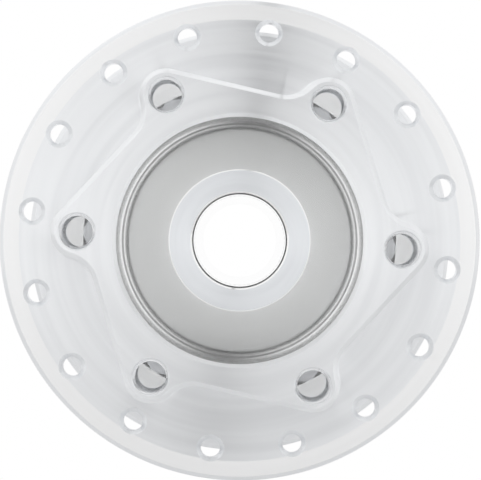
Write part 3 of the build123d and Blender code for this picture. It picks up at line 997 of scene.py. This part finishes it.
# %% Plastics
CLOUD_MM = 6
GLOSS_CHANGE = 0.06


def moulded(name, color, roughness, grain_mm, grain_depth, mottle):
    """Moulded plastic with a fine grain."""
    material = bpy.data.materials.new(name)
    material.use_nodes = True
    tree = material.node_tree
    shader = tree.nodes["Principled BSDF"]
    coordinates = new_node(tree, "ShaderNodeTexCoord").outputs["Object"]
    grain = new_node(tree, "ShaderNodeTexNoise")
    grain.inputs["Scale"].default_value = 1 / (grain_mm * MM)
    grain.inputs["Detail"].default_value = 4
    feed(tree, grain.inputs["Vector"], coordinates)
    cloud = new_node(tree, "ShaderNodeTexNoise")
    cloud.inputs["Scale"].default_value = 1 / (CLOUD_MM * MM)
    feed(tree, cloud.inputs["Vector"], coordinates)
    patches = ramp(tree, cloud.outputs["Fac"], *NOISE_MIDDLE)
    feed(tree, shader.inputs["Base Color"], two_shades(tree, patches, color, mottle, mottle))
    gloss_range = (roughness - GLOSS_CHANGE, roughness + GLOSS_CHANGE)
    gloss = ramp(tree, grain.outputs["Fac"], *NOISE_MIDDLE, *gloss_range)
    feed(tree, shader.inputs["Roughness"], gloss)
    bump = new_node(tree, "ShaderNodeBump")
    bump.inputs["Distance"].default_value = grain_depth * MM
    feed(tree, bump.inputs["Height"], grain.outputs["Fac"])
    feed(tree, shader.inputs["Normal"], bump.outputs[0])
    return material


block_plastic = moulded("black_nylon", (0.028, 0.028, 0.03), 0.42, 0.25, 0.02, 0.15)
bobbin_plastic = moulded("natural_nylon", (0.80, 0.77, 0.68), 0.45, 0.4, 0.005, 0.04)
insulation = moulded("red_insulation", (0.45, 0.03, 0.025), 0.4, 0.5, 0.004, 0.08)
block = eased_copy("terminal_housing", "terminal_block", 0.3, 3)
finish(block, block_plastic, "axle", "block_plastic", "terminal_block")

# %% [markdown]
# The remaining metals. Tabs are stamped from tinned brass, the pole pieces are soft iron with a
# grey phosphate coat, magnets are dull and slightly granular, and bearing rings are ground.

# %% Plain metals
def cast_metal(name, color, roughness, grain_mm, grain_depth, mottle):
    """A metal with an even, directionless surface."""
    material = moulded(name, color, roughness, grain_mm, grain_depth, mottle)
    material.node_tree.nodes["Principled BSDF"].inputs["Metallic"].default_value = 1
    return material


tab_metal = cast_metal("tinned_brass", (0.80, 0.79, 0.74), 0.24, 0.3, 0.002, 0.04)
soft_iron = cast_metal("phosphated_iron", (0.30, 0.30, 0.32), 0.5, 0.2, 0.006, 0.12)
magnet_grain = cast_metal("sintered_magnet", (0.20, 0.20, 0.22), 0.55, 0.12, 0.008, 0.15)
bearing_metal = turned_metal(
    "ground_bearing_steel", (0.70, 0.70, 0.71), 0.16, 0.4, 6.0, 0.0005, 0.02
)
for side in ("right", "left"):
    tab = eased_copy("push_on_tab_" + side, "terminal_tab_" + side, 0.12)
    finish(tab, tab_metal, "axle", "tab_metal", "terminal_tab_" + side)

# %% [markdown]
# The winding inside can't be seen until the hub is opened, but it is still a coil: enamelled wire
# laid in even turns. Modelling each turn would cost many faces for a hidden piece, so its turns are
# a wave along the axle, used as bump. Blender's wave repeats every pi / 10, which sets its scale.

# %% Winding
WIRE_PITCH = 0.5

winding = cast_metal("enamelled_copper", (0.62, 0.25, 0.10), 0.3, 0.6, 0.004, 0.1)
tree = winding.node_tree
wire = new_node(tree, "ShaderNodeTexWave", wave_type="BANDS", bands_direction="Y")
wire.inputs["Scale"].default_value = math.pi / (10 * WIRE_PITCH * MM)
feed(tree, wire.inputs["Vector"], new_node(tree, "ShaderNodeTexCoord").outputs["Object"])
groove = new_node(tree, "ShaderNodeBump")
groove.inputs["Distance"].default_value = WIRE_PITCH / 3 * MM
feed(tree, groove.inputs["Height"], wire.outputs["Fac"])
feed(tree, tree.nodes["Principled BSDF"].inputs["Normal"], groove.outputs[0])
print("wire pitch", WIRE_PITCH, "mm")

# %% [markdown]
# The nodes that stay hidden inside keep their CAD meshes and only get their finishes.

# %% Finishes of the inner nodes
INNER = {
    "magnet_yoke": soft_iron,
    "rotor_magnets": magnet_grain,
    "brake_bearing_outer_ring": bearing_metal,
    "connector_bearing_outer_ring": bearing_metal,
    "brake_bearing_inner_ring": bearing_metal,
    "connector_bearing_inner_ring": bearing_metal,
    "brake_claw_pole": soft_iron,
    "connector_claw_pole": soft_iron,
    "stator_key": axle_metal,
    "coil_bobbin": bobbin_plastic,
    "coil_winding": winding,
    "coil_leads": insulation,
}
for name, material in INNER.items():
    node = frame["nodes"][name]
    for material_slot in node.material_slots:
        material_slot.link = "OBJECT"
        material_slot.material = material
print("inner nodes finished:", len(INNER))
